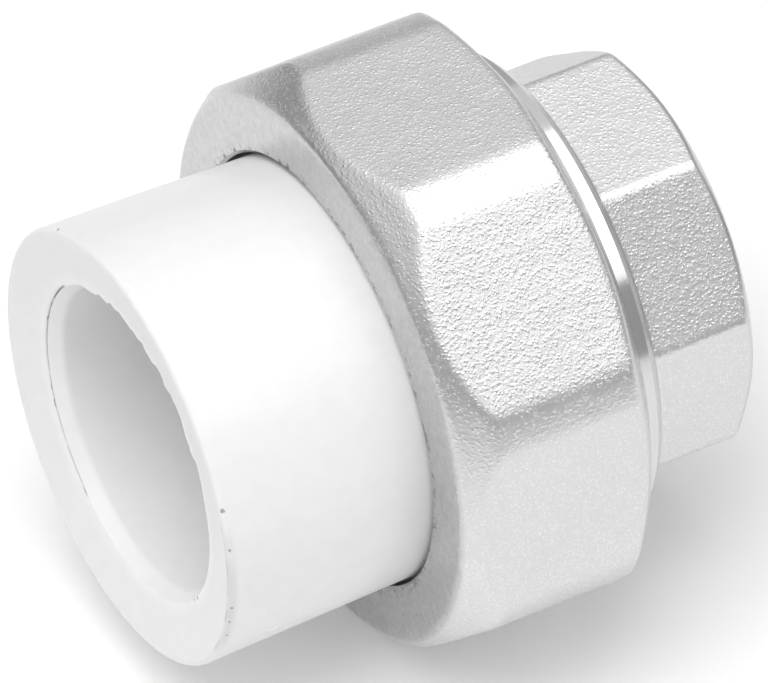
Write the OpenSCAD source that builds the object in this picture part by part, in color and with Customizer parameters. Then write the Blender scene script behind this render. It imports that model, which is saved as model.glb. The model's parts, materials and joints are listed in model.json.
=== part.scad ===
// Pipe union: a white plastic socket tailpiece and a cast stainless threaded end,
// drawn together on an O-ring by an octagonal union nut.
// Lengths are millimetres. The axis lies along X, with the socket's mouth at -X and
// the female pipe thread at +X, and the origin is halfway between the two end faces.

/* [Socket tailpiece] */
// Outside diameter of the pipe that is cemented into the socket
pipe_d = 25; // [20:0.5:27]
// Play between pipe and socket, on the diameter
socket_play = 0.2; // [0.1:0.05:0.4]
// Straight depth of the socket, from the lead-in to the pipe stop
socket_depth = 19; // [12:0.5:19]
// Wall of the tailpiece at its mouth
mouth_wall = 5.65; // [4.5:0.05:5.7]
// How much thinner the wall is where the tailpiece enters the nut
barrel_draft = 0.45; // [0.1:0.05:0.8]
// Length of barrel that stands out of the nut
barrel_out = 18; // [12:0.5:30]
// How far the mouth's face falls from its rim to the lead-in
mouth_dish = 0.95; // [0.2:0.05:1.5]
// Radius on the outer edge of the mouth
mouth_edge_r = 1.1; // [0.5:0.1:2]
// Width of the lead-in chamfer, across the wall
lead_in_w = 0.65; // [0.3:0.05:1.2]
// Length of the lead-in chamfer, along the axis
lead_in_l = 1.1; // [0.5:0.1:2]
// How far the flange stands out from the barrel
flange_proud = 1.4; // [0.9:0.05:2]
// Thickness of the flange
flange_t = 5; // [4:0.25:7]
// Chamfer on the flange's rim
flange_chamfer = 0.4; // [0.1:0.1:0.8]

/* [Waterway] */
// Diameter of the clear way through both halves
waterway_d = 20.6; // [14:0.2:22]

/* [Seal] */
// Thickness of the O-ring before it is squeezed
seal_section = 3.53; // [3:0.01:3.6]
// Depth of the O-ring's groove
seal_groove_depth = 2.75; // [2.4:0.05:2.9]
// Room beside the squeezed O-ring in its groove, each side
seal_side_room = 0.15; // [0.05:0.05:0.3]
// Metal left between the O-ring's groove and the roots of the union thread
seal_land = 1.334; // [1:0.001:2]

/* [Union thread] */
// Clearance on the radius with which the flange passes through the nut's thread
flange_clear = 0.3965; // [0.2:0.0005:0.8]
// Pitch of the union thread
union_pitch = 2.309; // [1.8:0.001:2.4]
// Length of the thread on the threaded end
union_thread_l = 7.8; // [6:0.1:8.4]
// Clearance between the thread's crests and roots, on the radius
thread_clear = 0.12; // [0.1:0.01:0.2]
// Clearance on each flank of the thread
flank_clear = 0.08; // [0.05:0.01:0.12]

/* [Union nut] */
// Wall of the nut over the roots of its thread, at the middle of a flat
nut_wall = 2.625; // [2:0.005:5]
// Radius on the nut's eight corners
nut_corner_r = 4.2; // [2:0.2:6]
// How far the nut reaches back past the end of the union thread
nut_skirt = 1.05; // [0.4:0.05:2.5]
// Thickness of the lip that pulls on the flange
lip_t = 3.4; // [2.5:0.1:4.5]
// Clearance around the barrel in the lip, on the radius
lip_clear = 0.35; // [0.2:0.05:0.5]
// Depth of the front chamfer where it meets the flats' middles, across the front
front_chamfer_w = 0.85; // [0.2:0.05:2]
// Angle of the front chamfer to the axis
front_chamfer_angle = 35; // [30:1:50]
// Width of the flat ring on the nut's back, outside the thread
back_ring_w = 1.1; // [0.6:0.1:1.8]
// Angle of the back chamfer to the axis
back_chamfer_angle = 60; // [45:1:70]

/* [Threaded end] */
// Step down from the union thread's crests to the turned collar behind it, on the radius
collar_step = 0.465; // [0.2:0.005:0.9]
// How far the collar stands out of the nut
collar_out = 1.7; // [1:0.05:3]
// Chamfer at the collar's back, measured across and along
collar_chamfer = 0.95; // [0.4:0.05:1.4]
// Length of the cone between the collar and the wrench flats
shoulder_l = 0.9; // [0.5:0.1:2]
// Wall over the roots of the pipe thread, at the middle of a wrench flat
end_wall = 2.99; // [2:0.01:4.5]
// Length from the collar to the end face
end_flats_l = 10.3; // [9:0.1:16]
// Radius on the corners between the wrench flats
end_corner_r = 0.8; // [0.4:0.1:2]
// Turn of the wrench flats from the nut's flats, in degrees
end_clocking = 6; // [-20:1:20]
// Depth of the turned chamfer where it meets the flats' middles, across the end face
end_chamfer_w = 0.25; // [0.1:0.05:1]
// Angle of the end chamfer to the axis
end_chamfer_angle = 60; // [45:1:70]

/* [Pipe thread] */
// Major diameter of the female pipe thread
pipe_thread_d = 26.32; // [25:0.01:26.8]
// Depth of the female pipe thread, on the radius
pipe_thread_depth = 1.1; // [0.8:0.01:1.3]
// Pitch of the female pipe thread
pipe_pitch = 1.814; // [1.5:0.001:2]
// Depth of the threaded hole, from the end face
pipe_thread_l = 16.3; // [14:0.1:17]
// Depth of the chamfer at the mouth of the threaded hole
pipe_thread_chamfer = 1.1; // [0.6:0.1:1.4]

/* [Running clearances] */
// Play between the lip and the flange, along the axis
lip_gap = 0.1; // [0.05:0.05:0.2]
// Gap between the two halves' faces, which the O-ring closes
face_gap = 0.1; // [0.05:0.05:0.2]

/* [Hidden] */
$fn = 96;

// Thread form: 55 degrees between the flanks, drawn with flat crests and roots
flank_tan = tan(27.5);
form_depth = 0.640327;          // depth of the form, in pitches
turn_steps = 36;                // rings of points in each turn of a helix
run_out_steps = 9;              // rings over which a thread fades in or out
embed = 0.1;                    // how far a thread's solid reaches past its root
overrun = 1;                    // how far a cut runs past the face it opens
corner_step = 7.5;              // degrees that each point of a round corner turns through
end_chamfer = 0.4;              // small turned chamfer on the front of the threaded end

// Radii of the tailpiece
socket_r = (pipe_d + socket_play) / 2;
lead_in_r = socket_r + lead_in_w;
mouth_r = socket_r + mouth_wall;
barrel_r = mouth_r - barrel_draft;
flange_r = barrel_r + flange_proud;
waterway_r = waterway_d / 2;

// Places along the axis, counted from the socket's mouth
socket_start = mouth_dish + lead_in_l;
socket_stop = socket_start + socket_depth;
nut_front = barrel_out;
lip_back = nut_front + lip_t;
flange_front = lip_back + lip_gap;
flange_back = flange_front + flange_t;
end_front = flange_back + face_gap;
union_thread_stop = end_front + union_thread_l;
nut_back = union_thread_stop + nut_skirt;
collar_stop = nut_back + collar_out;
flats_start = collar_stop + collar_chamfer;
end_back = flats_start + end_flats_l;
pipe_thread_stop = end_back - pipe_thread_l;

// Radii of the union thread, which the flange passes through: each half keeps its share of
// the clearance
nut_bore_r = flange_r + flange_clear;
union_minor_r = nut_bore_r - thread_clear;
union_major_r = union_minor_r + form_depth * union_pitch;
male_root_r = union_minor_r - thread_clear;
male_tip_r = union_major_r - thread_clear;
nut_root_r = union_major_r + thread_clear;

// Radii of the nut and the collar
nut_flats = 2 * (nut_root_r + nut_wall);
lip_r = barrel_r + lip_clear;
collar_r = male_tip_r - collar_step;

// The squeezed O-ring keeps the section area that it had when it was round
seal_h = seal_groove_depth + face_gap;
seal_flat = PI * (seal_section * seal_section - seal_h * seal_h) / (4 * seal_h);
seal_half_w = (seal_flat + seal_h) / 2;
groove_half_w = seal_half_w + seal_side_room;
seal_mid_r = male_root_r - seal_land - groove_half_w;

// Radii of the pipe thread, and the wrench flats around it
pipe_major_r = pipe_thread_d / 2;
pipe_minor_r = pipe_major_r - pipe_thread_depth;
end_flats = 2 * (pipe_major_r + end_wall);

// Distance from an octagon's centre to the centres of its rounded corners, and to their tips
function corner_centre(flats, r) = (flats / 2 - r) / cos(22.5);
function corner_tip(flats, r) = corner_centre(flats, r) + r;

// Half width of a thread's ridge, at a height above its root
function ridge_half_w(pitch, depth, height) = pitch / 4 + (depth / 2 - height) * flank_tan;

// Lay the local Z axis, counted from the mouth, along the union's X axis
module on_axis() {
    translate([-end_back / 2, 0, 0]) rotate([0, 90, 0]) children();
}

// One solid helix of a trapezoid: root and tip radii, half widths there, first and last place
// along the axis, and whether each end fades out into the root
module helix(pitch, root_r, tip_r, root_hw, tip_hw, z0, z1, fade0, fade1) {
    first = round(z0 / pitch * turn_steps);
    last = round(z1 / pitch * turn_steps);
    n = last - first;
    function fade(i) = min(1, fade0 ? i / run_out_steps : 1, fade1 ? (n - i) / run_out_steps : 1);
    function at(i, r, dz) = let (turns = (first + i) / turn_steps)
        [r * cos(360 * turns), r * sin(360 * turns), pitch * turns + dz];
    function ring(i) = let (k = fade(i))
        let (r = root_r + k * (tip_r - root_r), w = root_hw + k * (tip_hw - root_hw))
        [at(i, root_r, -root_hw), at(i, root_r, root_hw), at(i, r, w), at(i, r, -w)];
    function side(i, j) = let (a = 4 * i + j, b = 4 * i + (j + 1) % 4) [[a, b, b + 4], [a, b + 4, a + 4]];
    points = [for (i = [0:n]) each ring(i)];
    outward = tip_r > root_r;
    walls = [for (i = [0:n - 1]) for (j = [0:3]) each side(i, j)];
    caps = [[0, 2, 1], [0, 3, 2], [4 * n, 4 * n + 1, 4 * n + 2], [4 * n, 4 * n + 2, 4 * n + 3]];
    faces = concat(walls, caps);
    polyhedron(points, outward ? [for (f = faces) [f[2], f[1], f[0]]] : faces, convexity = 10);
}

// Ridge of the male union thread, sunk into its core
module male_ridge() {
    depth = male_tip_r - male_root_r;
    root_r = male_root_r - embed;
    helix(union_pitch, root_r, male_tip_r,
        ridge_half_w(union_pitch, depth, -embed) - flank_clear,
        ridge_half_w(union_pitch, depth, depth) - flank_clear,
        end_front + union_pitch / 2, union_thread_stop - union_pitch / 2, true, true);
}

// Groove of the nut's thread: it starts inside the bore and runs out of the nut's back
module nut_groove() {
    depth = nut_root_r - nut_bore_r;
    root_r = nut_bore_r - embed;
    helix(union_pitch, root_r, nut_root_r,
        ridge_half_w(union_pitch, depth, -embed) + flank_clear,
        ridge_half_w(union_pitch, depth, depth) + flank_clear,
        end_front - union_pitch / 2, nut_back + union_pitch, true, false);
}

// Groove of the female pipe thread
module pipe_groove() {
    root_r = pipe_minor_r - embed;
    half_tip = 0.05;
    helix(pipe_pitch, root_r, pipe_major_r,
        half_tip + (pipe_thread_depth + embed) * flank_tan, half_tip,
        pipe_thread_stop + pipe_pitch, end_back + pipe_pitch, true, false);
}

// An octagon across its flats, with round corners: each corner turns through 45 degrees
module octagon(flats, r) {
    c = corner_centre(flats, r);
    polygon([for (k = [0:7]) for (s = [-22.5:corner_step:22.5]) let (a = 22.5 + 45 * k)
        [c * cos(a) + r * cos(a + s), c * sin(a) + r * sin(a + s)]]);
}

// Turned outline: pairs of radius and place along the axis
module turned(outline) {
    rotate_extrude() polygon(outline);
}

module socket_tailpiece() {
    color("whitesmoke") on_axis() difference() {
        rotate_extrude() {
            polygon([
                [0, mouth_dish], [lead_in_r, mouth_dish],
                [mouth_r - mouth_edge_r, 0], [mouth_r, mouth_edge_r],
                [barrel_r, nut_front], [barrel_r, flange_front],
                [flange_r - flange_chamfer, flange_front], [flange_r, flange_front + flange_chamfer],
                [flange_r, flange_back - flange_chamfer], [flange_r - flange_chamfer, flange_back],
                [0, flange_back]
            ]);
            translate([mouth_r - mouth_edge_r, mouth_edge_r]) circle(mouth_edge_r);
        }
        turned([
            [0, -overrun], [lead_in_r, -overrun], [lead_in_r, mouth_dish],
            [socket_r, socket_start], [socket_r, socket_stop],
            [waterway_r, socket_stop], [waterway_r, flange_back + overrun], [0, flange_back + overrun]
        ]);
    }
}

module union_nut() {
    tip = corner_tip(nut_flats, nut_corner_r) + overrun;
    front_r = nut_flats / 2 - front_chamfer_w;
    back_r = nut_root_r + back_ring_w;
    color("silver") on_axis() difference() {
        intersection() {
            translate([0, 0, nut_front]) linear_extrude(nut_back - nut_front)
                octagon(nut_flats, nut_corner_r);
            turned([
                [0, nut_front], [front_r, nut_front],
                [tip, nut_front + (tip - front_r) / tan(front_chamfer_angle)],
                [tip, nut_back - (tip - back_r) / tan(back_chamfer_angle)],
                [back_r, nut_back], [0, nut_back]
            ]);
        }
        turned([
            [0, nut_front - overrun], [lip_r, nut_front - overrun], [lip_r, lip_back],
            [nut_bore_r, lip_back], [nut_bore_r, nut_back - (nut_root_r - nut_bore_r)],
            [nut_root_r + overrun, nut_back + overrun], [0, nut_back + overrun]
        ]);
        nut_groove();
    }
}

module sealing_ring() {
    color("dimgray") on_axis() translate([0, 0, flange_back]) rotate_extrude() {
        translate([seal_mid_r - seal_flat / 2, 0]) square([seal_flat, seal_h]);
        for (s = [-1, 1]) translate([seal_mid_r + s * seal_flat / 2, seal_h / 2]) circle(seal_h / 2);
    }
}

module threaded_end() {
    tip = corner_tip(end_flats, end_corner_r) + overrun;
    end_r = end_flats / 2 - end_chamfer_w;
    hole_floor = pipe_thread_stop - (pipe_minor_r - waterway_r);
    color("silver") on_axis() difference() {
        union() {
            turned([
                [0, end_front],
                [male_root_r - end_chamfer, end_front], [male_root_r, end_front + end_chamfer],
                [male_root_r, union_thread_stop], [collar_r, union_thread_stop + collar_r - male_root_r],
                [collar_r, collar_stop], [collar_r - collar_chamfer, flats_start],
                [end_flats / 2, flats_start + shoulder_l], [0, flats_start + shoulder_l]
            ]);
            male_ridge();
            intersection() {
                translate([0, 0, collar_stop]) rotate(end_clocking)
                    linear_extrude(end_back - collar_stop) octagon(end_flats, end_corner_r);
                turned([
                    [0, collar_stop], [tip, collar_stop],
                    [tip, end_back - (tip - end_r) / tan(end_chamfer_angle)],
                    [end_r, end_back], [0, end_back]
                ]);
            }
        }
        turned([
            [0, end_front - overrun], [waterway_r, end_front - overrun], [waterway_r, hole_floor],
            [pipe_minor_r, pipe_thread_stop], [pipe_minor_r, end_back - pipe_thread_chamfer],
            [pipe_minor_r + pipe_thread_chamfer + overrun, end_back + overrun], [0, end_back + overrun]
        ]);
        pipe_groove();
        translate([0, 0, end_front - overrun]) difference() {
            cylinder(h = seal_groove_depth + overrun, r = seal_mid_r + groove_half_w);
            cylinder(h = seal_groove_depth + overrun, r = seal_mid_r - groove_half_w);
        }
    }
}

socket_tailpiece();
union_nut();
sealing_ring();
threaded_end();
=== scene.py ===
"""Pipe union: a white moulded tailpiece, a cast octagonal nut, a rubber ring and a threaded end."""

import json
import math

import bmesh
import bpy
from mathutils import Matrix, Vector


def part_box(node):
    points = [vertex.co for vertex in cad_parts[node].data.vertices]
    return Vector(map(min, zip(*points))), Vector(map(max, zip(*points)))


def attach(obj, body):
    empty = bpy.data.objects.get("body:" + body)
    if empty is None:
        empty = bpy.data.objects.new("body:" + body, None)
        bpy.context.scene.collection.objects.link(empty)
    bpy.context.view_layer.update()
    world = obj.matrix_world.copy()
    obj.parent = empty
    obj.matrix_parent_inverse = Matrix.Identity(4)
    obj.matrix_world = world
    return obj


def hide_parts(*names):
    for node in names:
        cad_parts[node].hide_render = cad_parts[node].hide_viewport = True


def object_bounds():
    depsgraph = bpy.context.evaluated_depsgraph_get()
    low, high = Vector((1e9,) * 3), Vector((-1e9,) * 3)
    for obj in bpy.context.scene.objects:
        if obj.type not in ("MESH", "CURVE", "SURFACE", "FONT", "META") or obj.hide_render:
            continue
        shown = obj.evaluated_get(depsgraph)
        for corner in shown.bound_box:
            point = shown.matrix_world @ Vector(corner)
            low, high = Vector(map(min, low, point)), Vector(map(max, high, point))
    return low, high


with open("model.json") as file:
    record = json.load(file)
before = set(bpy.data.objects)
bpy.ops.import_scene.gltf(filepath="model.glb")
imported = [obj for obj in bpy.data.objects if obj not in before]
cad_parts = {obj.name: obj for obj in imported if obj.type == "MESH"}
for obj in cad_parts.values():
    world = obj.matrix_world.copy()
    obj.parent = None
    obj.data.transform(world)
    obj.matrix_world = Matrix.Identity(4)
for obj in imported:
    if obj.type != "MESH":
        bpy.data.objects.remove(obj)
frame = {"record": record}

MM = 0.001
TAU = 2 * math.pi

# ---------------------------------------------------------------- sizes
# The union's axis is X. An angle around it starts at -Z and turns towards +Y, as the threads
# do, and each thread has the middle of a ridge or groove at the mouth's place at angle 0.

cad_low, cad_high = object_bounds()
tail_low, tail_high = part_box("socket_tailpiece")
nut_low, nut_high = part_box("union_nut")
ring_low, ring_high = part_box("sealing_ring")
end_low, end_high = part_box("threaded_end")
holes = {mount["name"]: mount["dims"] for mount in frame["record"]["mounts"]}

# Socket tailpiece
MOUTH = tail_low.x
MOUTH_R = 18.25 * MM
MOUTH_EDGE = 0.4 * MM
MOUTH_DISH = 0.95 * MM
SOCKET_R = holes["pipe_socket"]["r_mm"] * MM
SOCKET_DEPTH = holes["pipe_socket"]["length_mm"] * MM
LEAD_IN_R = SOCKET_R + 0.65 * MM
LEAD_IN = 1.1 * MM
SOCKET_START = MOUTH + MOUTH_DISH + LEAD_IN
SOCKET_STOP = SOCKET_START + SOCKET_DEPTH
WATERWAY_R = 10.3 * MM
BARREL_R = 17.8 * MM
FLANGE_R = tail_high.y
FLANGE_THICKNESS = 5 * MM
FLANGE_BACK = tail_high.x
FLANGE_FRONT = FLANGE_BACK - FLANGE_THICKNESS
FLANGE_CHAMFER = 0.4 * MM

# Marks on the tailpiece: a ragged edge and a scored line at the mouth, and the gate's scar
RAGGED_MIDDLE = math.radians(206)
RAGGED_HALF_TURN = math.radians(60)
SCORED_MIDDLE = math.radians(82)
SCORED_HALF_TURN = math.radians(52)
GATE_ANGLE = math.radians(245)
RIM_SPOTS = [  # angle in degrees, size
    (-112.5, 0.26 * MM), (-101.5, 0.16 * MM), (-82.5, 0.17 * MM), (-77, 0.16 * MM),
    (-70.5, 0.17 * MM), (149, 0.26 * MM),
]
DISH_SPOTS = [(-56.7, 0.22 * MM), (-53.0, 0.15 * MM)]

# Union thread: 55 degrees between the flanks
UNION_PITCH = 2.309 * MM
FLANK_TAN = math.tan(math.radians(27.5))
THREAD_DEPTH = 0.640327 * UNION_PITCH
THREAD_SPREAD = THREAD_DEPTH / 2 * FLANK_TAN
THREAD_CLEAR = 0.12 * MM
FLANK_CLEAR = 0.08 * MM
NUT_BORE_R = FLANGE_R + 0.3965 * MM
NUT_ROOT_R = NUT_BORE_R + THREAD_DEPTH
MALE_ROOT_R = NUT_BORE_R - 2 * THREAD_CLEAR
MALE_TIP_R = MALE_ROOT_R + THREAD_DEPTH

# Union nut
NUT_FRONT = nut_low.x
NUT_BACK = nut_high.x
NUT_HALF_FLATS = nut_high.z
NUT_CORNER = 4.2 * MM
LIP = 3.4 * MM
LIP_R = BARREL_R + 0.35 * MM
LIP_EDGE = 0.25 * MM
FRONT_RING_R = NUT_HALF_FLATS - 0.85 * MM
FRONT_ANGLE = math.radians(35)
BACK_RING_R = NUT_ROOT_R + 1.1 * MM
BACK_ANGLE = math.radians(60)

# Threaded end
END_FRONT = end_low.x
END_BACK = end_high.x
END_FRONT_EDGE = 0.4 * MM
UNION_THREAD_LENGTH = 7.8 * MM
UNION_THREAD_STOP = END_FRONT + UNION_THREAD_LENGTH
COLLAR_R = MALE_TIP_R - 0.465 * MM
COLLAR_OUT = 1.7 * MM
COLLAR_STOP = NUT_BACK + COLLAR_OUT
COLLAR_CHAMFER = 0.95 * MM
FLATS_START = COLLAR_STOP + COLLAR_CHAMFER
SHOULDER = 0.9 * MM
SHOULDER_R = COLLAR_R - COLLAR_CHAMFER
PIPE_MINOR_R = holes["pipe_thread"]["r_mm"] * MM
PIPE_THREAD_DEPTH = 1.1 * MM
PIPE_MAJOR_R = PIPE_MINOR_R + PIPE_THREAD_DEPTH
PIPE_PITCH = 1.814 * MM
PIPE_CREST = 0.05 * MM
PIPE_CHAMFER = 1.1 * MM
PIPE_THREAD_LENGTH = 16.3 * MM
PIPE_THREAD_START = END_BACK - PIPE_THREAD_LENGTH
END_WALL = 2.99 * MM
END_HALF_FLATS = PIPE_MAJOR_R + END_WALL
SHOULDER_SLOPE = (END_HALF_FLATS - SHOULDER_R) / SHOULDER
END_CORNER = 0.4 * MM
END_CLOCKING = math.radians(6)
END_RING_R = END_HALF_FLATS - 0.25 * MM
END_ANGLE = math.radians(60)

# O-ring, squeezed in the groove of the threaded end's face
SEAL_H = 2.85 * MM
SEAL_DEPTH = 2.75 * MM
SEAL_OUT_R = ring_high.y
SEAL_WIDTH = 4.0456 * MM
SEAL_ROOM = 0.15 * MM
SEAL_FLASH = 0.05 * MM

# Heights of the fine reliefs that the materials draw
CAST_GRAIN = 0.033 * MM
LATHE_MARKS = 0.006 * MM
MOULD_PEEL = 0.012 * MM
RUBBER_DUST = 0.01 * MM

# Columns around each piece, steps around half the ring's section and on a rounded edge, and the
# distance and angle that welding and sharp edges go by
NUT_COLUMNS = 480
END_COLUMNS = 480
TAIL_COLUMNS = 384
RING_COLUMNS = 256
RING_STEPS = 24
ROUND_STEP = math.radians(18)
WELD = 0.002 * MM
SHARP = math.radians(38)
SQUARE_FACE = 1000.0  # the slope, in radius by length, of a face square to the axis


# ---------------------------------------------------------------- node trees as expressions


class Number:
    """A socket in a node tree. Reckoning with it adds Math nodes to the tree."""

    def __init__(self, tree, socket):
        self.tree = tree
        self.socket = socket

    def __add__(self, other):
        return self.tree.math("ADD", self, other)

    def __sub__(self, other):
        return self.tree.math("SUBTRACT", self, other)

    def __rsub__(self, other):
        return self.tree.math("SUBTRACT", other, self)

    def __mul__(self, other):
        return self.tree.math("MULTIPLY", self, other)

    def __truediv__(self, other):
        return self.tree.math("DIVIDE", self, other)

    def __neg__(self):
        return self.tree.math("MULTIPLY", self, -1.0)

    __radd__ = __add__
    __rmul__ = __mul__


class Tree:
    """A shader or geometry node tree that is written as expressions."""

    def __init__(self, data):
        self.data = data
        data.nodes.clear()

    def add(self, kind, settings=None, values=None, out=0):
        """Adds a node: first its settings, then the values or links of its sockets."""
        node = self.data.nodes.new(kind)
        for name, setting in (settings or {}).items():
            setattr(node, name, setting)
        for key, value in (values or {}).items():
            if isinstance(value, Number):
                self.data.links.new(value.socket, node.inputs[key])
            else:
                node.inputs[key].default_value = value
        return node if out is None else Number(self, node.outputs[out])

    def math(self, operation, *numbers):
        return self.add("ShaderNodeMath", {"operation": operation}, dict(enumerate(numbers)))

    def clip(self, number):
        return self.add("ShaderNodeClamp", None, {"Value": number, "Min": 0.0, "Max": 1.0})

    def step(self, number, low, high):
        """0 below low and 1 above high, with a smooth rise between them."""
        settings = {"interpolation_type": "SMOOTHSTEP"}
        return self.add("ShaderNodeMapRange", settings, {"Value": number, "From Min": low, "From Max": high})

    def split(self, vector):
        node = self.add("ShaderNodeSeparateXYZ", None, {0: vector}, out=None)
        return [Number(self, socket) for socket in node.outputs]

    def join(self, x, y, z):
        return self.add("ShaderNodeCombineXYZ", None, {"X": x, "Y": y, "Z": z})

    def noise(self, vector, scale, detail=2.0, roughness=0.5):
        values = {"Vector": vector, "Scale": scale, "Detail": detail, "Roughness": roughness}
        return self.add("ShaderNodeTexNoise", None, values)

    def length(self, x, y):
        return self.math("SQRT", x * x + y * y)

    def bump(self, height, distance):
        """A Bump node whose relief is as high as distance."""
        return self.add("ShaderNodeBump", None, {"Height": height, "Distance": distance, "Strength": 1.0})


# ---------------------------------------------------------------- skins made by geometry nodes
# A skin is one open band of a piece, a grid wrapped around the axis. Skins of one piece have
# the same columns and meet at their edges, where they are welded.

SOCKET_KINDS = {int: "NodeSocketInt", float: "NodeSocketFloat"}


def skin_tree(name, sizes, place):
    """A geometry tree with a named input for each size. place() gives its finished shape."""
    data = bpy.data.node_groups.new(name, "GeometryNodeTree")
    tree = Tree(data)
    data.interface.new_socket("Geometry", in_out="OUTPUT", socket_type="NodeSocketGeometry")
    data.interface.new_socket("Outline", in_out="INPUT", socket_type="NodeSocketGeometry")
    for key, kind in sizes.items():
        data.interface.new_socket(key, in_out="INPUT", socket_type=SOCKET_KINDS[kind])
    data.interface.new_socket("Material", in_out="INPUT", socket_type="NodeSocketMaterial")
    entry = tree.add("NodeGroupInput", out=None)
    given = {socket.name: Number(tree, socket) for socket in entry.outputs if socket.name}
    shape = place(tree, given)
    shape = tree.add("GeometryNodeRealizeInstances", None, {0: shape})
    shape = tree.add("GeometryNodeSetMaterial", None, {"Geometry": shape, "Material": given["Material"]})
    tree.add("NodeGroupOutput", None, {0: shape}, out=None)
    return data


def skin(data, material, sizes, outline=()):
    """The plain mesh that a skin tree makes from these sizes and, where it has one, an outline."""
    base = bpy.data.meshes.new("outline")
    base.from_pydata([(x, 0.0, r) for x, r in outline], [], [])
    maker = bpy.data.objects.new("maker", base)
    bpy.context.scene.collection.objects.link(maker)
    modifier = maker.modifiers.new("skin", "NODES")
    modifier.node_group = data
    for item in data.interface.items_tree:
        if item.in_out == "INPUT" and item.name in sizes:
            modifier[item.identifier] = sizes[item.name]
        elif item.in_out == "INPUT" and item.name == "Material":
            modifier[item.identifier] = material
    graph = bpy.context.evaluated_depsgraph_get()
    mesh = bpy.data.meshes.new_from_object(maker.evaluated_get(graph))
    bpy.data.objects.remove(maker)
    return mesh


def wrapped_grid(tree, columns, rows):
    """A flat grid, with the turn around the axis and the row that each of its points stands for."""
    values = {"Size X": 1.0, "Size Y": 1.0, "Vertices X": columns + 1, "Vertices Y": rows + 1}
    grid = tree.add("GeometryNodeMeshGrid", None, values)
    x, y, _ = tree.split(tree.add("GeometryNodeInputPosition"))
    turn = tree.math("ROUND", (x + 0.5) * columns) / columns
    row = tree.math("ROUND", (y + 0.5) * rows)
    return grid, turn, row


def set_around(tree, grid, x, radius, angle):
    """Moves the grid's points to a place along the axis, a radius and an angle."""
    y = radius * tree.math("SINE", angle)
    z = radius * tree.math("COSINE", angle) * -1.0
    placed = tree.add("GeometryNodeSetPosition", None, {"Geometry": grid, "Position": tree.join(x, y, z)})
    return tree.add("GeometryNodeMergeByDistance", None, {"Geometry": placed, "Distance": WELD})


def place_turned(tree, given):
    """The outline, spun around the axis, with one edge of it made ragged and one scored."""
    rows = tree.add(
        "GeometryNodeAttributeDomainSize", {"component": "MESH"}, {"Geometry": given["Outline"]}
    )
    grid, turn, row = wrapped_grid(tree, given["Columns"], rows - 1.0)
    values = {
        "Geometry": given["Outline"], "Value": tree.add("GeometryNodeInputPosition"), "Index": row,
    }
    point = tree.add("GeometryNodeSampleIndex", {"data_type": "FLOAT_VECTOR"}, values)
    x, _, radius = tree.split(point)
    angle = turn * TAU
    around = tree.join(tree.math("SINE", angle), tree.math("COSINE", angle), 0.0)

    ragged = near_edge(tree, given, "Ragged", x, radius) * on_arc(tree, given, "Ragged", angle)
    teeth = tree.step(tree.noise(around, given["Ragged teeth"], 2.0), 0.36, 0.62) - 0.3
    radius = radius - given["Ragged depth"] * teeth * ragged

    scored = near_edge(tree, given, "Scored", x, radius) * on_arc(tree, given, "Scored", angle)
    dashes = tree.step(tree.noise(around, 8.0, 2.0), 0.30, 0.45)
    x = x + given["Scored depth"] * dashes * scored

    beside = tree.math("WRAP", angle - given["Gate angle"], math.pi, -math.pi) * radius
    away = tree.length((x - given["Gate place"]) / given["Gate length"], beside / given["Gate width"])
    lower_rim_darkening = tree.noise(tree.join(x * 900.0, angle * 16.0, 0.0), 1.0, 2.0) * 0.5
    gate = 1.0 - tree.step(away + lower_rim_darkening, 0.9, 1.25)
    return set_around(tree, grid, x, radius - given["Gate depth"] * gate, angle)


def near_edge(tree, given, mark, x, radius):
    """1 on an edge of the outline, falling to 0 at the mark's reach from it."""
    away = tree.length(x - given[mark + " place"], radius - given[mark + " radius"])
    return 1.0 - tree.step(away / given[mark + " reach"], 0.0, 1.0)


def on_arc(tree, given, mark, angle):
    """1 along a mark's arc around the axis, fading out at both of its ends."""
    half = given[mark + " half turn"]
    from_middle = tree.math("WRAP", angle - given[mark + " middle"], math.pi, -math.pi)
    return 1.0 - tree.step(tree.math("ABSOLUTE", from_middle) / half, 0.85, 1.0)


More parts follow.
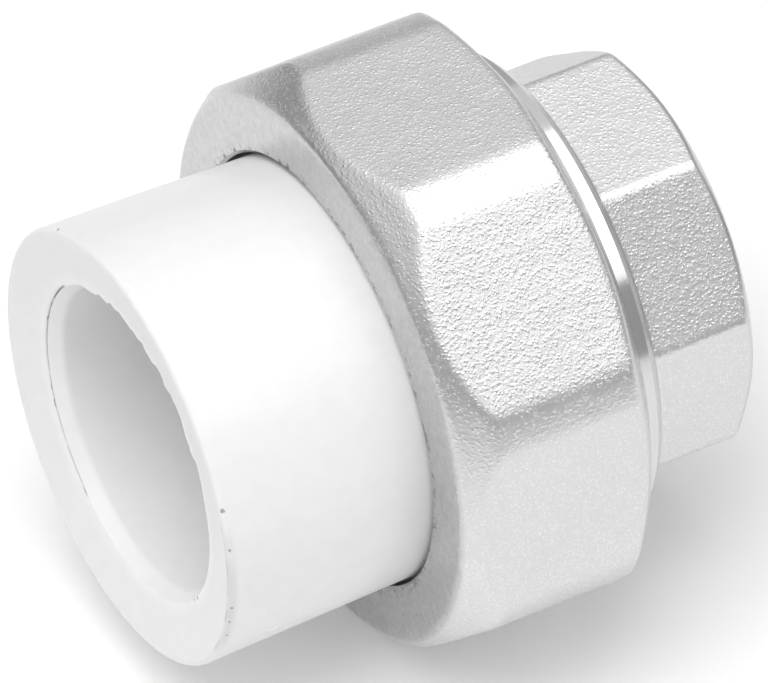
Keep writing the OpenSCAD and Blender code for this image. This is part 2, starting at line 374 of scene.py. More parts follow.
def place_octagon(tree, given):
    """An octagon between two turned ends: a ring, a chamfer, the flats, a chamfer and a ring."""
    bands = ("Front rows", "Front chamfer rows", "Flat rows", "Back chamfer rows", "Back rows")
    counts = [given[band] for band in bands]
    grid, turn, row = wrapped_grid(tree, given["Columns"], sum(counts[1:], counts[0]))
    before = 0.0
    shares = []
    for count in counts:
        shares.append(tree.clip((row - before) / count))
        before = count + before
    front, front_chamfer, flat, back_chamfer, back = shares

    corner, half = given["Corner radius"], given["Half flats"]
    angle = turn * TAU
    eighth = math.radians(45)
    from_flat = tree.math("PINGPONG", angle - given["Clocking"], eighth / 2)
    from_corner = eighth / 2 - from_flat
    centre = (half - corner) / math.cos(eighth / 2)
    last = tree.math(
        "ARCTAN2", corner * math.sin(eighth / 2), centre + corner * math.cos(eighth / 2)
    )
    across = centre * tree.math("SINE", from_corner)
    painted_bore_light = tree.math("MAXIMUM", corner * corner - across * across, 0.0)
    arc = centre * tree.math("COSINE", from_corner) + tree.math("SQRT", painted_bore_light)
    facet = (centre + corner * math.cos(eighth / 2)) / tree.math("COSINE", from_corner)
    on_corner = arc + (facet - arc) * given["Corner flatness"]
    on_flat = half / tree.math("COSINE", from_flat)
    round_part = tree.math("LESS_THAN", from_corner, last)
    reach = on_flat + round_part * (on_corner - on_flat)

    front_x, front_r = given["Front place"], given["Front radius"]
    back_x, back_r = given["Back place"], given["Back radius"]
    front_meet = front_x + (reach - front_r) / given["Front slope"]
    back_meet = back_x - (reach - back_r) / given["Back slope"]
    x = given["Start place"] + (front_x - given["Start place"]) * front
    x = x + (front_meet - front_x) * front_chamfer + (back_meet - front_meet) * flat
    x = x + (back_x - back_meet) * back_chamfer
    radius = given["Start radius"] + (front_r - given["Start radius"]) * front
    radius = radius + (reach - front_r) * front_chamfer - (reach - back_r) * back_chamfer
    radius = radius - (back_r - given["Stop radius"]) * back

    share = tree.step(front_chamfer + (front - 1.0) * given["Front softness"], -0.6, 0.05)
    share = share * (1.0 - tree.step(back_chamfer, 0.6, 1.0))
    values = {"Geometry": grid, "Name": "cast", "Value": share}
    grid = tree.add("GeometryNodeStoreNamedAttribute", {"data_type": "FLOAT", "domain": "POINT"}, values)
    sharp = set_around(tree, grid, x, radius, angle)
    cast = tree.add("GeometryNodeInputNamedAttribute", {"data_type": "FLOAT"}, {"Name": "cast"})
    place = tree.add("GeometryNodeInputPosition")
    values = {"Value": place, "Iterations": given["Softening"], "Weight": cast}
    softened = tree.add("GeometryNodeBlurAttribute", {"data_type": "FLOAT_VECTOR"}, values)
    soft = tree.add("GeometryNodeSetPosition", None, {"Geometry": sharp, "Position": softened})

    _, y, z = tree.split(place)
    away = tree.length(y, z)
    swell = tree.noise(place, 260.0, 2.0) * 0.6 + tree.noise(place, 900.0, 1.0) * 0.4
    sink = cast * (swell - 1.0) * given["Wobble"] / away
    values = {"Geometry": soft, "Offset": tree.join(0.0, y * sink, z * sink)}
    return tree.add("GeometryNodeSetPosition", None, values)


def place_thread(tree, given):
    """A core with a helical ridge or groove, whose rows follow the helix and stop square."""
    pitch, core, reach = given["Pitch"], given["Core radius"], given["Reach radius"]
    wide, narrow = given["Half width at core"], given["Half width at reach"]
    per_turn = given["Rows a turn"]
    grid, turn, row = wrapped_grid(tree, given["Columns"], per_turn * given["Turns"])
    period = tree.math("FLOOR", row / per_turn + 0.0001)
    share = (row - period * per_turn) / per_turn * 2.0 - 1.0
    h = tree.math("ABSOLUTE", share)
    crest, flank = 1 / 3, 1 / 3
    offset = narrow * tree.clip(h / crest)
    offset = offset + (wide - narrow) * tree.clip((h - crest) / flank)
    offset = offset + (pitch / 2.0 - wide) * tree.clip((h - crest - flank) / crest)
    offset = offset * tree.math("SIGN", share)

    start, stop = given["Start"] - MOUTH, given["Stop"] - MOUTH
    first = tree.math("FLOOR", start / pitch) - 1.0
    along = pitch * (first + period + turn) + offset
    x = tree.math("MINIMUM", tree.math("MAXIMUM", along, start), stop)
    nearest = tree.math("ROUND", x / pitch - turn) + turn
    from_middle = tree.math("ABSOLUTE", x - nearest * pitch)
    fade_in = tree.clip((nearest - (given["First place"] - MOUTH) / pitch) * 4.0)
    fade_out = tree.clip(((given["Last place"] - MOUTH) / pitch - nearest) * 4.0)
    height = tree.clip((wide - from_middle) / (wide - narrow)) * fade_in * fade_out
    radius = core + (reach - core) * height
    flare = core + tree.math("MAXIMUM", x + MOUTH - given["Flare place"], 0.0)
    radius = tree.math("MAXIMUM", radius, flare)
    return set_around(tree, grid, x + MOUTH, radius, turn * TAU)


TURNED_SIZES = {
    "Columns": int, "Ragged place": float, "Ragged radius": float, "Ragged reach": float,
    "Ragged depth": float, "Ragged middle": float, "Ragged half turn": float, "Ragged teeth": float,
    "Scored place": float, "Scored radius": float, "Scored reach": float, "Scored depth": float,
    "Scored middle": float, "Scored half turn": float, "Gate place": float, "Gate angle": float,
    "Gate length": float, "Gate width": float, "Gate depth": float,
}
OCTAGON_SIZES = {
    "Columns": int, "Half flats": float, "Corner radius": float, "Corner flatness": float, "Clocking": float,
    "Start place": float, "Start radius": float, "Front place": float, "Front radius": float,
    "Front slope": float, "Back place": float, "Back radius": float, "Back slope": float,
    "Stop radius": float, "Front rows": int, "Front chamfer rows": int, "Flat rows": int,
    "Back chamfer rows": int, "Back rows": int, "Softening": int, "Front softness": float,
    "Wobble": float,
}
THREAD_SIZES = {
    "Columns": int, "Rows a turn": int, "Turns": int, "Pitch": float, "Start": float, "Stop": float,
    "Core radius": float, "Reach radius": float, "Half width at core": float,
    "Half width at reach": float, "First place": float, "Last place": float, "Flare place": float,
}
turned_tree = skin_tree("turned skin", TURNED_SIZES, place_turned)
octagon_tree = skin_tree("octagon skin", OCTAGON_SIZES, place_octagon)
thread_tree = skin_tree("thread skin", THREAD_SIZES, place_thread)

NO_MARKS = {
    "Ragged place": 1.0, "Ragged radius": 1.0, "Ragged reach": MM, "Ragged depth": 0.0,
    "Ragged middle": 0.0, "Ragged half turn": 1.0, "Ragged teeth": 1.0,
    "Scored place": 1.0, "Scored radius": 1.0, "Scored reach": MM, "Scored depth": 0.0,
    "Scored middle": 0.0, "Scored half turn": 1.0,
    "Gate place": 1.0, "Gate angle": 0.0, "Gate length": MM, "Gate width": MM, "Gate depth": 0.0,
}


def rounded(corners, longest):
    """Points along an outline of (place, radius, rounding) corners, no further apart than longest."""
    points = []
    for i, (x, r, edge) in enumerate(corners):
        here = Vector((x, r))
        if edge == 0 or i in (0, len(corners) - 1):
            points.append(here)
            continue
        back = (Vector(corners[i - 1][:2]) - here).normalized()
        on = (Vector(corners[i + 1][:2]) - here).normalized()
        half = back.angle(on) / 2
        centre = here + (back + on).normalized() * edge / math.sin(half)
        start = here + back * edge / math.tan(half) - centre
        sweep = math.pi - 2 * half
        side = math.copysign(1, start.x * (here.y - centre.y) - start.y * (here.x - centre.x))
        steps = max(2, round(sweep / ROUND_STEP))
        for k in range(steps + 1):
            turn = side * sweep * k / steps
            arm = Vector((
                start.x * math.cos(turn) - start.y * math.sin(turn),
                start.x * math.sin(turn) + start.y * math.cos(turn),
            ))
            points.append(centre + arm)
    spaced = [points[0]]
    for point in points[1:]:
        gap = point - spaced[-1]
        parts = max(1, math.ceil(gap.length / longest))
        origin = spaced[-1]
        spaced += [origin + gap * k / parts for k in range(1, parts + 1)]
    return [tuple(point) for point in spaced]


def turned(corners, columns, material, longest=1.5 * MM, marks=None):
    """A skin turned from an outline of corners."""
    return skin(turned_tree, material, {"Columns": columns, **(marks or NO_MARKS)}, rounded(corners, longest))


def weld(name, skins):
    """One closed object from skins whose edges meet."""
    mesh = bpy.data.meshes.new(name)
    shell = bmesh.new()
    for band in skins:
        material = band.materials[-1]
        if material.name not in mesh.materials:
            mesh.materials.append(material)
        slot = mesh.materials.find(material.name)
        band.polygons.foreach_set("material_index", [slot] * len(band.polygons))
        shell.from_mesh(band)
        bpy.data.meshes.remove(band)
    bmesh.ops.remove_doubles(shell, verts=shell.verts, dist=WELD)
    bmesh.ops.recalc_face_normals(shell, faces=shell.faces)
    shell.to_mesh(mesh)
    shell.free()
    mesh.shade_smooth()
    mesh.set_sharp_from_angle(angle=SHARP)
    made = bpy.data.objects.new(name, mesh)
    bpy.context.scene.collection.objects.link(made)
    return made


# ---------------------------------------------------------------- materials


def shader(name):
    """A new material, its tree and its Object coordinates."""
    material = bpy.data.materials.new(name)
    material.use_nodes = True
    tree = Tree(material.node_tree)
    place = tree.add("ShaderNodeTexCoord", out="Object")
    return material, tree, place


def surface(tree, values):
    """Ends a material in a Principled BSDF."""
    node = tree.add("ShaderNodeBsdfPrincipled", None, values)
    tree.add("ShaderNodeOutputMaterial", None, {"Surface": node}, out=None)


def grey(tree, tone):
    return tree.add("ShaderNodeCombineColor", None, {"Red": tone, "Green": tone, "Blue": tone * 1.004})


def cast_steel(name, front_x, front_r, front_slope, back_x, back_r, back_slope, front_grain):
    """Shot-blasted castings with turned ends: the grain is finer on the front and stops at the back."""
    material, tree, place = shader(name)
    x, y, z = tree.split(place)
    radius = tree.length(y, z)
    past_front = x - front_x - (radius - front_r) / front_slope
    before_back = back_x - (radius - back_r) / back_slope - x
    front = 1.0 - tree.step(past_front, 0.1 * MM, 0.35 * MM)
    cast = (1.0 - front) * tree.step(before_back, 0.1 * MM, 0.35 * MM)

    fine = tree.noise(place, 3900.0, 2.0, 0.6)
    swells = tree.noise(place, 1500.0, 2.0, 0.5)
    bend = (fine - 0.5) * 0.35 * MM
    bent = tree.join(x + bend, y + (swells - 0.5) * 0.35 * MM, z - bend)
    far = tree.add("ShaderNodeTexVoronoi", None, {"Vector": bent, "Scale": 3200.0})
    dome = 1.0 - tree.clip(far * far / 0.30)
    dome = dome * dome
    coarse = tree.noise(place, 2600.0, 3.0, 0.65)
    grain = dome * (0.10 + fine * 1.10) + fine * 0.30 + coarse * 1.30
    lathe = tree.noise(tree.join(x * 9.0, radius * 9.0, 0.0), 1400.0, 2.0)
    height = grain * (cast + front * front_grain) + lathe * 0.2 * (1.0 - cast)
    bump = tree.bump(height, CAST_GRAIN)

    cloud = tree.noise(place, 140.0, 3.0)
    # Painted shade and painted highlight: the turned ends are painted darker for the dark things they
    # reflect, and the dome tops on the cast faces are painted lighter as painted glints.
    tone = 0.71 - 0.12 * (1.0 - cast) + (cloud - 0.5) * 0.05 + (dome - 0.3) * 0.10 * cast
    pits = tree.step(tree.noise(place, 1700.0, 3.0, 0.7), 0.53, 0.60)
    pits = pits * (1.0 - tree.step(radius, LIP_R + LIP_EDGE, LIP_R + 1.1 * MM))
    tone = tone + ((fine + swells - 1.0) * 0.45 - pits) * front * front_grain
    rough = 0.37 + (cloud - 0.5) * 0.10 - 0.09 * (1.0 - cast) - dome * 0.12 * cast
    surface(tree, {
        "Base Color": grey(tree, tone), "Metallic": 1.0, "Roughness": rough, "Normal": bump,
    })
    return material


def turned_steel():
    """Bright turned faces: the collar, the threads and the bores."""
    material, tree, place = shader("turned_steel")
    x, y, z = tree.split(place)
    radius = tree.length(y, z)
    lathe = tree.noise(tree.join(x, radius, 0.0), 9000.0, 2.0)
    cloud = tree.noise(place, 220.0, 2.0)
    nicks = tree.step(tree.noise(place, 520.0, 4.0, 0.7), 0.66, 0.72)
    height = lathe * 0.5 + cloud * 0.8 - nicks * 0.6
    bump = tree.bump(height, LATHE_MARKS)
    tone = 0.66 + (lathe - 0.5) * 0.06 - nicks * 0.12
    rough = 0.10 + cloud * 0.06 + nicks * 0.2
    surface(tree, {
        "Base Color": grey(tree, tone), "Metallic": 1.0, "Roughness": rough, "Normal": bump,
    })
    return material


def white_pvc():
    """Glossy white moulding, with painted shade in the scored line, a painted lighter bore, and a darker
    band, a dark line and spots along the lower edge of the rim.
    """
    material, tree, place = shader("moulded_pvc")
    x, y, z = tree.split(place)
    radius = tree.length(y, z)
    angle = tree.math("ARCTAN2", y, -z)
    around = tree.join(y / radius, z / radius, 0.0)
    cloud = tree.noise(place, 90.0, 3.0)
    peel = tree.noise(place, 1500.0, 2.0)
    height = peel * 0.6 + cloud
    bump = tree.bump(height, MOULD_PEEL)

    at_mouth = 1.0 - tree.step(x, MOUTH + 1.4 * MM, MOUTH + 1.6 * MM)
    from_score = tree.math("ABSOLUTE", radius - LEAD_IN_R - 0.08 * MM)
    from_middle = tree.math("ABSOLUTE", angle - SCORED_MIDDLE)
    dashes = tree.step(tree.noise(around, 8.0, 2.0), 0.30, 0.45) * 0.65 + 0.35
    # Painted shade: the scored groove is darkened in the colour, standing in for the shadow in the crevice.
    scored_line_shade = (1.0 - tree.step(from_score, 0.05 * MM, 0.13 * MM)) * dashes * at_mouth
    scored_line_shade = scored_line_shade * (1.0 - tree.step(from_middle / SCORED_HALF_TURN, 0.9, 1.0))

    low = tree.step(-angle, math.radians(58), math.radians(64))
    low = low * (1.0 - tree.step(-angle, math.radians(108), math.radians(114)))
    # A darker band along the lower side of the rim, broken up by noise.
    from_edge = tree.length(x - MOUTH - 0.1 * MM, radius - MOUTH_R)
    lower_rim_darkening = 1.0 - tree.step(from_edge, 0.0, 0.85 * MM)
    lower_rim_darkening = lower_rim_darkening * tree.step(-angle, math.radians(48), math.radians(72))
    lower_rim_darkening = lower_rim_darkening * (1.0 - tree.step(-angle, math.radians(92), math.radians(118)))
    lower_rim_darkening = lower_rim_darkening * (0.5 + tree.noise(around, 9.0, 2.0))
    from_rim = tree.math("ABSOLUTE", radius - (MOUTH_R - MOUTH_EDGE))
    line = (1.0 - tree.step(from_rim, 0.02 * MM, 0.13 * MM)) * low * at_mouth
    line = line * tree.step(tree.noise(around, 6.0, 3.0), 0.40, 0.62)
    spots = 0.0
    on_rim = [(degrees, size, 0.2 * MM, MOUTH_R) for degrees, size in RIM_SPOTS]
    in_dish = [(degrees, size, MOUTH_DISH, LEAD_IN_R + 0.1 * MM) for degrees, size in DISH_SPOTS]
    for degrees, size, depth, spot_r in on_rim + in_dish:
        turn = math.radians(degrees)
        middle = (MOUTH + depth, spot_r * math.sin(turn), -spot_r * math.cos(turn))
        values = {0: place, 1: middle}
        away = tree.add("ShaderNodeVectorMath", {"operation": "DISTANCE"}, values, out="Value")
        ragged = tree.noise(place, 5000.0, 1.0) * 0.30 * MM - 0.15 * MM
        spots = (1.0 - tree.step(away + ragged, size * 0.4, size)) + spots

    near_rim = 1.0 - tree.step(tree.math("ABSOLUTE", x - MOUTH - 0.5 * MM), 0.4 * MM, 1.6 * MM)
    specks = tree.step(tree.noise(place, 1500.0, 3.0, 0.7), 0.70, 0.76) * near_rim
    specks = specks * tree.step(radius, MOUTH_R - 1.2 * MM, MOUTH_R - 0.6 * MM)

    # Painted light: the bore is given a lighter tone, standing in for the light that falls into it.
    painted_bore_light = 1.0 - tree.step(radius, LEAD_IN_R, LEAD_IN_R + 1.5 * MM)
    mottle = tree.noise(place, 650.0, 3.0)
    tone = 0.85 + painted_bore_light * 0.045 + (cloud - 0.5) * 0.03 + (mottle - 0.5) * 0.06
    tone = tone * (1.0 - scored_line_shade * 0.72) * (1.0 - lower_rim_darkening * 0.16) * (1.0 - line * 0.35)
    tone = tone * (1.0 - tree.clip(spots) * 0.6) * (1.0 - specks * 0.5)
    rough = 0.30 + (cloud - 0.5) * 0.12 + specks * 0.2
    surface(tree, {
        "Base Color": grey(tree, tone), "Roughness": rough, "Normal": bump, "IOR": 1.53,
    })
    return material


def epdm_rubber():
    """Black rubber with a faint bloom."""
    material, tree, place = shader("moulded_rubber")
    cloud = tree.noise(place, 300.0, 3.0)
    dust = tree.noise(place, 4200.0, 2.0)
    surface(tree, {
        "Base Color": grey(tree, 0.028 + cloud * 0.02), "Roughness": 0.52 + dust * 0.2,
        "Normal": tree.bump(dust, RUBBER_DUST),
    })
    return material


# ---------------------------------------------------------------- pieces


def make_tailpiece(pvc):
    """The moulded tailpiece: its mouth is dished and has a ragged lead-in."""
    edge = 0.2 * MM
    face_r = MOUTH_R - MOUTH_EDGE
    dish = MOUTH + MOUTH_DISH
    fine = 0.12 * MM
    slope = MOUTH_DISH / (face_r - LEAD_IN_R)
    mouth = [(dish - fine * k * slope, LEAD_IN_R + fine * k, 0) for k in (0, 1, 2, 3)]
    rim = [
        (MOUTH + MOUTH_EDGE * (1 - math.cos(a)), face_r + MOUTH_EDGE * math.sin(a), 0)
        for a in (math.radians(d) for d in range(15, 90, 15))
    ]
    flare = (LEAD_IN_R - SOCKET_R) / LEAD_IN
    lead_in = [(dish + fine * k, LEAD_IN_R - fine * k * flare, 0) for k in (3, 2, 1, 0)]
    corners = mouth + [(MOUTH, face_r, 0)] + rim + [
        (MOUTH + MOUTH_EDGE, MOUTH_R, 0),
        (NUT_FRONT, BARREL_R, 0),
        (FLANGE_FRONT, BARREL_R, edge),
        (FLANGE_FRONT, FLANGE_R - FLANGE_CHAMFER, 0),
        (FLANGE_FRONT + FLANGE_CHAMFER, FLANGE_R, 0),
        (FLANGE_BACK - FLANGE_CHAMFER, FLANGE_R, 0),
        (FLANGE_BACK, FLANGE_R - FLANGE_CHAMFER, 0),
        (FLANGE_BACK, WATERWAY_R, edge),
        (SOCKET_STOP, WATERWAY_R, edge),
        (SOCKET_STOP, SOCKET_R, edge),
        (SOCKET_START, SOCKET_R, 0),
    ] + lead_in
    marks = {
        **NO_MARKS,
        "Ragged place": dish, "Ragged radius": LEAD_IN_R, "Ragged reach": 0.7 * MM,
        "Ragged depth": 0.42 * MM, "Ragged middle": RAGGED_MIDDLE,
        "Ragged half turn": RAGGED_HALF_TURN, "Ragged teeth": 7.0,
        "Scored place": dish, "Scored radius": LEAD_IN_R + fine, "Scored reach": 1.4 * fine,
        "Scored depth": 0.22 * MM, "Scored middle": SCORED_MIDDLE,
        "Scored half turn": SCORED_HALF_TURN,
        "Gate place": MOUTH + 9.9 * MM, "Gate angle": GATE_ANGLE, "Gate length": 1.6 * MM,
        "Gate width": 0.75 * MM, "Gate depth": 0.05 * MM,
    }
    band = turned(corners, TAIL_COLUMNS, pvc, 0.35 * MM, marks)
    return weld("tailpiece_moulding", [band])


def make_nut(cast, bright):
    """The cast nut, with a turned lip and its thread."""
    outside = skin(octagon_tree, cast, {
        "Columns": NUT_COLUMNS, "Half flats": NUT_HALF_FLATS, "Corner radius": NUT_CORNER,
        "Corner flatness": 0.8, "Clocking": 0.0,
        "Start place": NUT_FRONT, "Start radius": LIP_R + LIP_EDGE,
        "Front place": NUT_FRONT, "Front radius": FRONT_RING_R, "Front slope": math.tan(FRONT_ANGLE),
        "Back place": NUT_BACK, "Back radius": BACK_RING_R, "Back slope": math.tan(BACK_ANGLE),
        "Stop radius": NUT_ROOT_R, "Front rows": 12, "Front chamfer rows": 10, "Flat rows": 54,
        "Back chamfer rows": 7, "Back rows": 3, "Softening": 5, "Front softness": 2.0,
        "Wobble": 0.09 * MM,
    })
    lip_back = NUT_FRONT + LIP
    thread_start = lip_back + 1 * MM
    lip = turned([
        (NUT_FRONT, LIP_R + LIP_EDGE, 0), (NUT_FRONT + LIP_EDGE, LIP_R, 0), (lip_back, LIP_R, LIP_EDGE),
        (lip_back, NUT_BORE_R, LIP_EDGE), (thread_start, NUT_BORE_R, 0),
    ], NUT_COLUMNS, bright, 1.2 * MM)
    thread = skin(thread_tree, bright, {
        "Columns": NUT_COLUMNS, "Rows a turn": 6, "Turns": 9, "Pitch": UNION_PITCH,
        "Start": thread_start, "Stop": NUT_BACK, "Core radius": NUT_BORE_R, "Reach radius": NUT_ROOT_R,
        "Half width at core": UNION_PITCH / 4 + THREAD_SPREAD + FLANK_CLEAR,
        "Half width at reach": UNION_PITCH / 4 - THREAD_SPREAD + FLANK_CLEAR,
        "First place": END_FRONT - UNION_PITCH / 2, "Last place": 1.0,
        "Flare place": NUT_BACK - THREAD_DEPTH,
    })
    return weld("nut_casting", [outside, lip, thread])


def make_end(cast, bright):
    """The cast threaded end: face and O-ring groove, union thread, collar, flats, pipe thread."""
    groove_out = SEAL_OUT_R + SEAL_ROOM
    groove_in = SEAL_OUT_R - SEAL_WIDTH - SEAL_ROOM
    edge = 0.15 * MM
    face = turned([
        (PIPE_THREAD_START, PIPE_MINOR_R, 0),
        (PIPE_THREAD_START - (PIPE_MINOR_R - WATERWAY_R), WATERWAY_R, 0),
        (END_FRONT, WATERWAY_R, edge), (END_FRONT, groove_in, edge),
        (END_FRONT + SEAL_DEPTH, groove_in, edge), (END_FRONT + SEAL_DEPTH, groove_out, edge),
        (END_FRONT, groove_out, edge), (END_FRONT, MALE_ROOT_R - END_FRONT_EDGE, 0),
        (END_FRONT + END_FRONT_EDGE, MALE_ROOT_R, 0),
    ], END_COLUMNS, bright)
    male = skin(thread_tree, bright, {
        "Columns": END_COLUMNS, "Rows a turn": 6, "Turns": 7, "Pitch": UNION_PITCH,
        "Start": END_FRONT + END_FRONT_EDGE, "Stop": UNION_THREAD_STOP,
        "Core radius": MALE_ROOT_R, "Reach radius": MALE_TIP_R,
        "Half width at core": UNION_PITCH / 4 + THREAD_SPREAD - FLANK_CLEAR,
        "Half width at reach": UNION_PITCH / 4 - THREAD_SPREAD - FLANK_CLEAR,
        "First place": END_FRONT + UNION_PITCH / 2, "Last place": UNION_THREAD_STOP - UNION_PITCH / 2,
        "Flare place": 1.0,
    })
    collar = turned([
        (UNION_THREAD_STOP, MALE_ROOT_R, 0), (UNION_THREAD_STOP + COLLAR_R - MALE_ROOT_R, COLLAR_R, edge),
        (COLLAR_STOP, COLLAR_R, 0),
    ], END_COLUMNS, bright)
    flats = skin(octagon_tree, cast, {
        "Columns": END_COLUMNS, "Half flats": END_HALF_FLATS, "Corner radius": END_CORNER,
        "Corner flatness": 0.0, "Clocking": END_CLOCKING,
        "Start place": COLLAR_STOP, "Start radius": COLLAR_R,
        "Front place": FLATS_START, "Front radius": SHOULDER_R, "Front slope": SHOULDER_SLOPE,
        "Back place": END_BACK, "Back radius": END_RING_R, "Back slope": math.tan(END_ANGLE),
        "Stop radius": PIPE_MAJOR_R, "Front rows": 4, "Front chamfer rows": 9, "Flat rows": 34,
        "Back chamfer rows": 4, "Back rows": 8, "Softening": 3, "Front softness": 20.0,
        "Wobble": 0.07 * MM,
    })
    pipe = skin(thread_tree, bright, {
        "Columns": END_COLUMNS, "Rows a turn": 6, "Turns": 12, "Pitch": PIPE_PITCH,
        "Start": PIPE_THREAD_START, "Stop": END_BACK, "Core radius": PIPE_MINOR_R,
        "Reach radius": PIPE_MAJOR_R, "Half width at core": PIPE_CREST + PIPE_THREAD_DEPTH * FLANK_TAN,
        "Half width at reach": PIPE_CREST, "First place": PIPE_THREAD_START + PIPE_PITCH,
        "Last place": 1.0, "Flare place": END_BACK - PIPE_CHAMFER,
    })
    return weld("end_casting", [face, male, collar, flats, pipe])


def make_ring(rubber):
    """The squeezed O-ring, with the fine flash line of its mould inside and outside."""
    half = SEAL_H / 2
    middle_x = ring_low.x + half
    inner, outer = SEAL_OUT_R - SEAL_WIDTH + half, SEAL_OUT_R - half
    points = []
    for centre, side in ((outer, 1), (inner, -1)):
        for k in range(RING_STEPS + 1):
            a = math.radians(180 * k / RING_STEPS - 90)
            flash = SEAL_FLASH if k == RING_STEPS // 2 else 0
            points.append((
                middle_x + side * half * math.sin(a),
                centre + side * (half * math.cos(a) - SEAL_FLASH + flash),
                0,
            ))
    band = turned(points + [points[0]], RING_COLUMNS, rubber, 0.4 * MM)
    return weld("sealing_ring_rubber", [band])


# ---------------------------------------------------------------- studio

FRAME_W, FRAME_H = 768, 683
SENSOR = 36.0
CAMERA_AZIMUTH = math.radians(-29.317)
CAMERA_ELEVATION = math.radians(42.744)
CAMERA_ROLL = math.radians(-0.315)
FOCAL_PX = 13127.0
PX_PER_M = 12.79 / MM
MOUTH_PX = (116.8, 448.2)
FILL = 0.51
LAMP_AWAY = 0.80
FLOOR_HALF = 3.0
FLOOR_LIFT = 0.13
FLOOR_NEAR, FLOOR_FAR = 0.12, 0.50
CARD_AWAY = 1.2
CARD_STEPS = 48


def make_camera():
    """A long lens that looks down on the mouth and the near flats."""
    sa, ca = math.sin(CAMERA_AZIMUTH), math.cos(CAMERA_AZIMUTH)
    se, ce = math.sin(CAMERA_ELEVATION), math.cos(CAMERA_ELEVATION)
    back = Vector((sa * ce, -ca * ce, se))
    right = Vector((ca, sa, 0))
    up = back.cross(right)
    cr, sr = math.cos(CAMERA_ROLL), math.sin(CAMERA_ROLL)
    right, up = right * cr + up * sr, up * cr - right * sr
    across = (MOUTH_PX[0] - FRAME_W / 2) / PX_PER_M
    above = (FRAME_H / 2 - MOUTH_PX[1]) / PX_PER_M
    away = FOCAL_PX / PX_PER_M
    data = bpy.data.cameras.new("camera")
    data.sensor_width = SENSOR
    data.lens = FOCAL_PX / FRAME_W * SENSOR
    data.clip_start, data.clip_end = 0.01, 10.0
    camera = bpy.data.objects.new("camera", data)
    bpy.context.scene.collection.objects.link(camera)
    place = Vector((MOUTH, 0, 0)) - right * across - up * above + back * away
    camera.matrix_world = Matrix.Translation(place) @ Matrix((right, up, back)).transposed().to_4x4()
    bpy.context.scene.camera = camera


def soft_lamp(name, towards, side, radiance):
    """A square soft box of a plain radiance, which faces the union from a direction."""
    data = bpy.data.lights.new(name, "AREA")
    data.shape = "SQUARE"
    data.size = side
    data.energy = radiance * math.pi * side * side
    lamp = bpy.data.objects.new(name, data)
    bpy.context.scene.collection.objects.link(lamp)
    direction = Vector(towards).normalized()
    lamp.location = direction * LAMP_AWAY
    lamp.rotation_euler = direction.to_track_quat("Z", "Y").to_euler()
    return lamp


def seen(tree):
    """1 for rays from the camera and for reflected and refracted rays, 0 for diffuse ones."""
    node = tree.add("ShaderNodeLightPath", out=None)
    camera, glossy, through = [
        Number(tree, node.outputs[ray]) for ray in ("Is Camera Ray", "Is Glossy Ray", "Is Transmission Ray")
    ]
    return tree.math("MAXIMUM", tree.math("MAXIMUM", camera, glossy), through)


def backdrop(tree):
    """Plain white where it is seen, and the fill for diffuse rays."""
    return {"Color": (1, 1, 1, 1), "Strength": FILL + seen(tree) * (1.0 - FILL)}


def make_world():
    """The backdrop all around."""
    world = bpy.data.worlds.new("studio")
    world.use_nodes = True
    tree = Tree(world.node_tree)
    background = tree.add("ShaderNodeBackground", None, backdrop(tree))
    tree.add("ShaderNodeOutputWorld", None, {"Surface": background}, out=None)
    bpy.context.scene.world = world


def make_floor():
    """A pale floor that keeps the union's shadow, and that further out is as white as the world."""
    mesh = bpy.data.meshes.new("floor")
    corners = [(FLOOR_HALF * x, FLOOR_HALF * y, cad_low.z) for x, y in ((-1, -1), (1, -1), (1, 1), (-1, 1))]
    mesh.from_pydata(corners, [], [(0, 1, 2, 3)])
    floor = bpy.data.objects.new("floor", mesh)
    bpy.context.scene.collection.objects.link(floor)
    material, tree, place = shader("floor_white")
    matt = tree.add("ShaderNodeBsdfDiffuse", None, {"Color": (0.9, 0.9, 0.9, 1)})
    glow = tree.add("ShaderNodeEmission", None, {"Color": (1, 1, 1, 1), "Strength": seen(tree) * FLOOR_LIFT})
    near = tree.add("ShaderNodeAddShader", None, {0: matt, 1: glow})
    far = tree.add("ShaderNodeEmission", None, backdrop(tree))
    x, y, _ = tree.split(place)
    away = tree.step(tree.length(x, y), FLOOR_NEAR, FLOOR_FAR)
    both = tree.add("ShaderNodeMixShader", None, {0: away, 1: near, 2: far})
    tree.add("ShaderNodeOutputMaterial", None, {"Surface": both}, out=None)
    mesh.materials.append(material)


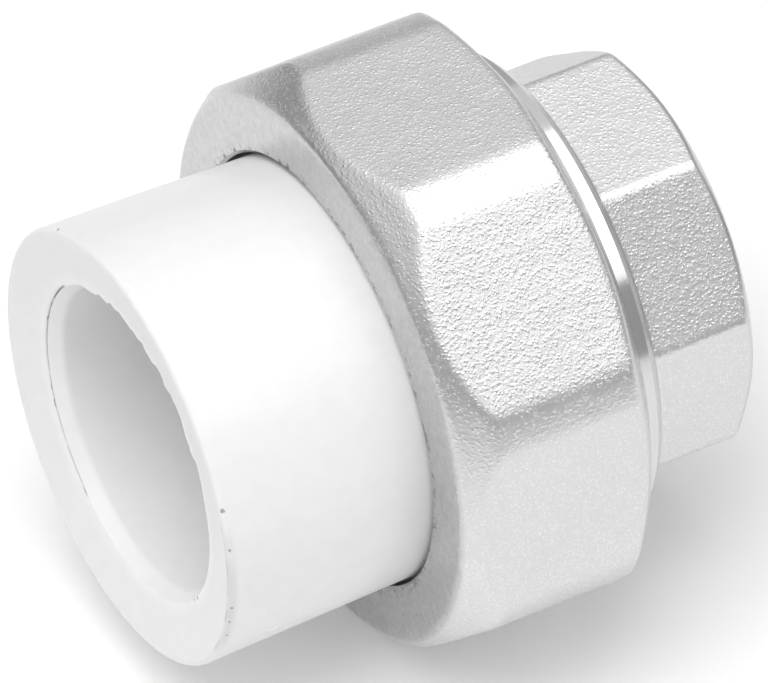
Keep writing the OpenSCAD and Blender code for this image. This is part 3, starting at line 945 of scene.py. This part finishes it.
def make_card(name, low, high, middle, half_turn, tone):
    """A curved card that only reflections show, between two elevations, with angles in degrees."""
    turns = [math.radians(middle + half_turn * (2 * k / CARD_STEPS - 1)) for k in range(CARD_STEPS + 1)]
    points = [
        (CARD_AWAY * math.cos(turn), CARD_AWAY * math.sin(turn), CARD_AWAY * math.tan(math.radians(lift)))
        for lift in (low, high) for turn in turns
    ]
    faces = [(k, k + 1, CARD_STEPS + k + 2, CARD_STEPS + k + 1) for k in range(CARD_STEPS)]
    mesh = bpy.data.meshes.new(name)
    mesh.from_pydata(points, [], faces)
    card = bpy.data.objects.new(name, mesh)
    bpy.context.scene.collection.objects.link(card)
    for rays in ("camera", "diffuse", "transmission", "volume_scatter", "shadow"):
        setattr(card, "visible_" + rays, False)
    material, tree, _ = shader(name + "_grey")
    glow = tree.add("ShaderNodeEmission", None, {"Color": (1, 1, 1, 1), "Strength": tone})
    tree.add("ShaderNodeOutputMaterial", None, {"Surface": glow}, out=None)
    mesh.materials.append(material)


# ---------------------------------------------------------------- making and dressing

make_camera()
pvc = white_pvc()
rubber = epdm_rubber()
bright_steel = turned_steel()
nut_steel = cast_steel(
    "nut_steel", NUT_FRONT, FRONT_RING_R, SQUARE_FACE, NUT_BACK, BACK_RING_R, math.tan(BACK_ANGLE),
    front_grain=0.4,
)
end_steel = cast_steel(
    "end_steel", FLATS_START, SHOULDER_R, SHOULDER_SLOPE, END_BACK, END_RING_R, math.tan(END_ANGLE),
    front_grain=0.0,
)

for piece, node, body, slot in (
    (make_tailpiece(pvc), "socket_tailpiece", "socket_half", "white_pvc"),
    (make_nut(nut_steel, bright_steel), "union_nut", "nut", "cast_stainless"),
    (make_ring(rubber), "sealing_ring", "threaded_half", "epdm_rubber"),
    (make_end(end_steel, bright_steel), "threaded_end", "threaded_half", "cast_stainless"),
):
    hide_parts(node)
    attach(piece, body)

overhead_box = soft_lamp("overhead_box", (0.35, -0.22, 0.905), 0.92, 1.2)
overhead_box.visible_diffuse = False
for name, towards, side, radiance in (
    ("key_fill", (-0.28, -0.16, 0.95), 0.6, 3.9),
    ("front_fill", (0.25, -0.90, 0.35), 0.8, 0.46),
):
    fill = soft_lamp(name, towards, side, radiance)
    fill.visible_glossy = False
make_world()
make_floor()
for name, low, high, middle, half_turn, tone in (
    ("front_card", -1, 41, -90, 120, 0.42),
    ("low_card", -1, 33, 115, 40, 0.25),
    ("side_card", -1, 33, 45, 30, 0.55),
    ("back_card", 33, 66, 90, 70, 0.84),
):
    make_card(name, low, high, middle, half_turn, tone)

bpy.context.scene.view_settings.view_transform = "Standard"
